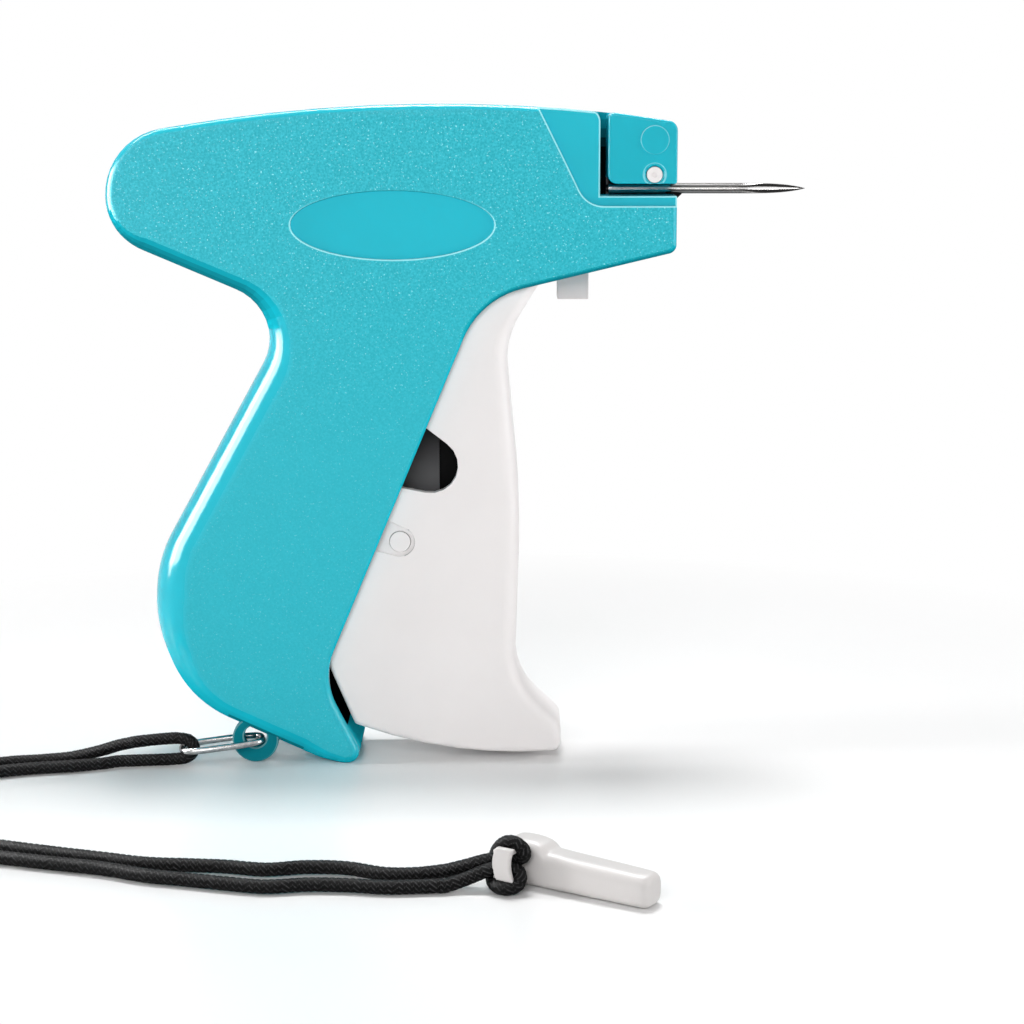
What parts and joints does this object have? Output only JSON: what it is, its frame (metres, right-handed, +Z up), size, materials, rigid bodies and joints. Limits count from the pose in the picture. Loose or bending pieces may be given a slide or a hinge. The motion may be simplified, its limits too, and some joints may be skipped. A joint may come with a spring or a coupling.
{
  "type": "fabric tagging tool",
  "caption": "Pistol-grip fabric tagging gun: trigger drives a lever, slide and push rod through a slotted needle; needle cap on a cord lanyard.",
  "frame": {"origin": "middle of the tool's own box (lanyard, clip and cap left out), on the surface it stands on", "axes": "+X forward along the needle, +Y towards the far shell, away from the slotted side, +Z up"},
  "size_m": [0.205, 0.1218, 0.149],
  "materials": {
    "casing_plastic": "fine sparkling grain on the flats, smooth rounded edges",
    "nose_plastic": "smooth satin moulding",
    "white_plastic": "satin moulded plastic",
    "dark_plastic": "moulded nylon",
    "bright_steel": "bright drawn steel",
    "dark_steel": "blackened sheet steel",
    "cord": "round braided cord"
  },
  "bodies": {
    "casing": {"right_shell": "casing_plastic", "left_shell": "casing_plastic", "nose_block": "nose_plastic", "case_screws": "bright_steel", "needle": "bright_steel", "needle_base": "dark_plastic", "cutter_blade": "bright_steel", "feed_wheel_axle": "bright_steel", "release_spring": "bright_steel", "lever_pivot_pin": "bright_steel", "trigger_pivot_pin": "bright_steel", "return_spring": "bright_steel", "wire_clip": "bright_steel", "clip_hitch": "cord", "lanyard_strand_a": "cord", "lanyard_strand_b": "cord", "cap_hitch": "cord", "needle_cap": "white_plastic"},
    "trigger": {"trigger": "white_plastic", "trigger_link_pin": "white_plastic", "feed_pawl": "bright_steel"},
    "lever": {"drive_lever": "dark_plastic", "lever_plate": "dark_steel"},
    "slide": {"plunger_slide": "dark_plastic", "push_rod": "bright_steel", "slide_pin": "bright_steel"},
    "feed_wheel": {"feed_wheel": "dark_plastic"},
    "release_button": {"release_button": "white_plastic"},
    "needle_lock": {"needle_lock": "white_plastic"}
  },
  "joints": [
    {"name": "trigger_squeeze", "type": "hinge", "parent": "casing", "child": "trigger", "pos_m": [0.0137, 0, 0.1126], "axis": [0, 1, 0], "range_deg": [0, 13], "stiffness_Nm_per_rad": 0.6, "springref_deg": -5.73, "deforming": ["return_spring"]},
    {"name": "lever_swing", "type": "hinge", "parent": "casing", "child": "lever", "pos_m": [-0.01578, 0, 0.07446], "axis": [0, 1, 0], "range_deg": [0, 40.61]},
    {"name": "plunger_stroke", "type": "slide", "parent": "casing", "child": "slide", "axis": [1, 0, 0], "range_m": [0, 0.04132]},
    {"name": "feed_wheel_turn", "type": "hinge", "parent": "casing", "child": "feed_wheel", "pos_m": [0.0256, 0, 0.1208], "axis": [0, 1, 0], "range_deg": [-20.01, 0]},
    {"name": "release_push", "type": "slide", "parent": "casing", "child": "release_button", "axis": [0, 0, 1], "range_m": [0, 0.002], "stiffness_N_per_m": 500, "springref_m": -0.002, "deforming": ["release_spring"]},
    {"name": "needle_lock_turn", "type": "hinge", "parent": "casing", "child": "needle_lock", "pos_m": [0.0432, 0, 0.13365], "axis": [0, 1, 0], "range_deg": [0, 90]}
  ],
  "couplings": [
    {"joint": "lever_swing", "follows": "trigger_squeeze", "ratio": 3.1237},
    {"joint": "plunger_stroke", "follows": "trigger_squeeze", "m_per_rad": 0.18211},
    {"joint": "feed_wheel_turn", "follows": "trigger_squeeze", "ratio": -1.5385}
  ]
}
